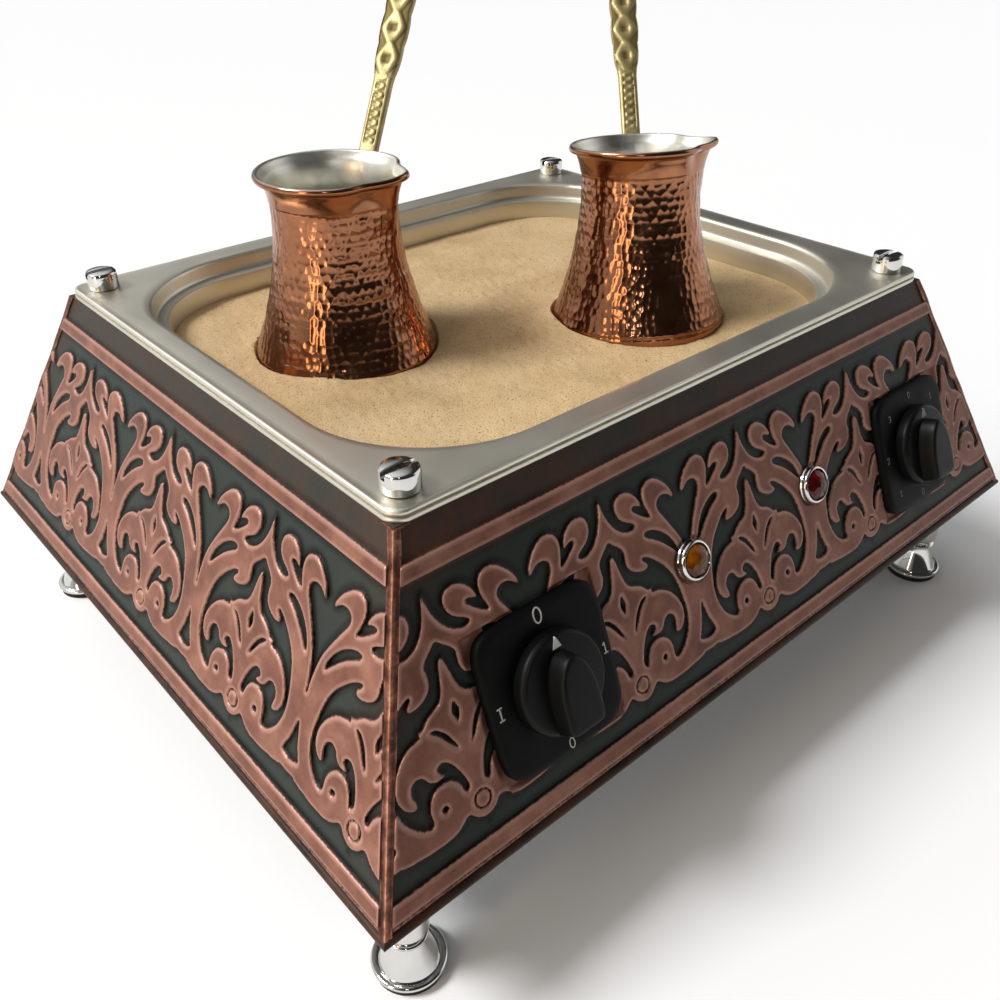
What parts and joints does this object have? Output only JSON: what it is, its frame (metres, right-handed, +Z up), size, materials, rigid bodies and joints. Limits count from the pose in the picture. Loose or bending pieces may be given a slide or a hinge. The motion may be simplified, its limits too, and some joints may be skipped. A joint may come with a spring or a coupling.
{
  "type": "cezve coffee pots on a sand heater",
  "caption": "Electric sand heater in a flared embossed copper casing with a steel sand pan, turning switches, pilot lamps, and hammered copper cezves that lift out of the sand.",
  "frame": {"origin": "on the table top under the middle of the casing", "axes": "+X to the right along the front panel, +Y to the rear, +Z up"},
  "size_m": [0.426, 0.3705, 0.3408],
  "materials": {
    "embossed_copper": "antiqued, embossed, bright on the raised work",
    "seam_copper": "antiqued, worn bright on the folds",
    "stainless": "pressed stainless sheet, satin",
    "zinc_steel": "zinc plated",
    "chrome": "polished",
    "rubber": "matte",
    "sand": "dry fine sand",
    "element_sheath": "heat darkened tube",
    "element_ceramic": "unglazed",
    "insulation": "fibre board",
    "black_plastic": "moulded",
    "knob_plastic": "moulded, satin gloss",
    "lamp_plastic": "moulded",
    "wire_insulation": "braided glass sleeve",
    "terminal_brass": "plain",
    "amber_lens": "tinted clear",
    "red_lens": "tinted clear",
    "hammered_copper": "hammered and lacquered, tinned inside",
    "rivet_copper": "peened",
    "cast_brass": "cast, polished"
  },
  "bodies": {
    "heater": {"front_panel": "embossed_copper", "rear_panel": "embossed_copper", "left_panel": "embossed_copper", "right_panel": "embossed_copper", "corner_seams": "seam_copper", "corner_gussets": "zinc_steel", "base_plate": "zinc_steel", "base_screws": "zinc_steel", "foot_front_left": "chrome", "foot_front_right": "chrome", "foot_rear_left": "chrome", "foot_rear_right": "chrome", "foot_pads": "rubber", "foot_nuts": "zinc_steel", "sand_pan": "stainless", "sand_bed": "sand", "pan_screws": "chrome", "heating_element": "element_sheath", "element_pins": "element_ceramic", "clamp_bars": "zinc_steel", "heater_studs": "zinc_steel", "heater_nuts": "zinc_steel", "insulation_board": "insulation", "heat_shield": "zinc_steel", "thermal_cutout": "black_plastic", "terminal_block": "element_ceramic", "terminal_screws": "terminal_brass", "earth_stud": "terminal_brass", "cable_gland": "black_plastic", "gland_cap": "black_plastic", "gland_locknut": "black_plastic", "wiring": "wire_insulation", "left_switch_plate": "black_plastic", "left_switch_body": "black_plastic", "left_switch_nut": "zinc_steel", "right_switch_plate": "black_plastic", "right_switch_body": "black_plastic", "right_switch_nut": "zinc_steel", "amber_lamp_bezel": "chrome", "amber_lamp_lens": "amber_lens", "amber_lamp_holder": "lamp_plastic", "amber_lamp_nut": "zinc_steel", "red_lamp_bezel": "chrome", "red_lamp_lens": "red_lens", "red_lamp_holder": "lamp_plastic", "red_lamp_nut": "zinc_steel"},
    "left_dial": {"left_knob": "knob_plastic", "left_switch_shaft": "zinc_steel"},
    "right_dial": {"right_knob": "knob_plastic", "right_switch_shaft": "zinc_steel"},
    "left_cezve": {"left_cezve_pot": "hammered_copper", "left_cezve_handle": "cast_brass", "left_cezve_rivets": "rivet_copper"},
    "right_cezve": {"right_cezve_pot": "hammered_copper", "right_cezve_handle": "cast_brass", "right_cezve_rivets": "rivet_copper"}
  },
  "joints": [
    {"name": "left_knob_turn", "type": "hinge", "parent": "heater", "child": "left_dial", "pos_m": [-0.121, -0.16654, 0.11231], "axis": [0, -0.9231, 0.3846], "continuous": true},
    {"name": "right_knob_turn", "type": "hinge", "parent": "heater", "child": "right_dial", "pos_m": [0.131, -0.16654, 0.11231], "axis": [0, -0.9231, 0.3846], "continuous": true},
    {"name": "left_cezve_lift", "type": "slide", "parent": "heater", "child": "left_cezve", "axis": [0, 0, 1], "range_m": [0, 0.15]},
    {"name": "right_cezve_lift", "type": "slide", "parent": "heater", "child": "right_cezve", "axis": [0.0453, 0.1018, 0.9938], "range_m": [0, 0.15]}
  ]
}
